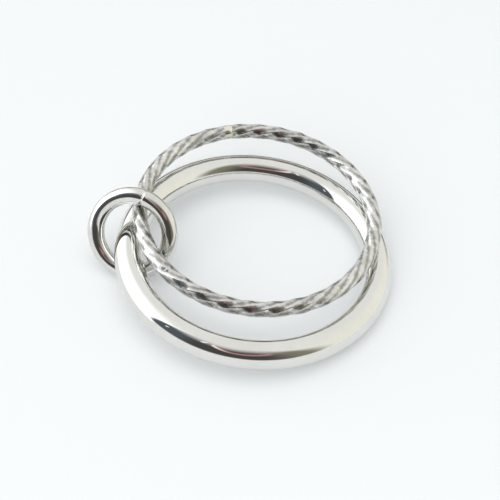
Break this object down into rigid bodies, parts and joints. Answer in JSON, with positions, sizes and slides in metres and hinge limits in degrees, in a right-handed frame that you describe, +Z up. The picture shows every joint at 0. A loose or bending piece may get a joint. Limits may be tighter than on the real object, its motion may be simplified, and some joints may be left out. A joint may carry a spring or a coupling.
{
  "type": "linked metal rings",
  "caption": "Heavy plain ring and lighter ring of twisted six-sided wire, joined by a small link ring that both turn and swing through.",
  "frame": {"origin": "middle of the group's footprint, at the height of the table it lies on", "axes": "+Z up from the table; the link ring is on the -X side and the large rings on the +X side; the group is seen from the -Y side"},
  "size_m": [0.0244, 0.0238, 0.0065],
  "materials": {
    "polished_silver": "mirror polish",
    "twisted_silver": "bright, hand-twisted",
    "link_silver": "mirror polish",
    "solder": "bright, slightly warm"
  },
  "bodies": {
    "link": {"link_ring": "link_silver", "link_ring_solder": "solder"},
    "plain": {"plain_ring": "polished_silver"},
    "twisted": {"twisted_ring": "twisted_silver", "twisted_ring_solder": "solder"}
  },
  "joints": [
    {"name": "plain_ring_turn", "type": "hinge", "parent": "link", "child": "plain", "pos_m": [0.00116, -0.00078, 0.0019], "axis": [0.0746, -0.0074, 0.9972], "continuous": true},
    {"name": "twisted_ring_swing", "type": "hinge", "parent": "link", "child": "twisted", "pos_m": [-0.008, 0.00155, 0.00445], "axis": [0.0284, -0.9978, -0.0593], "range_deg": [0, 160]}
  ]
}
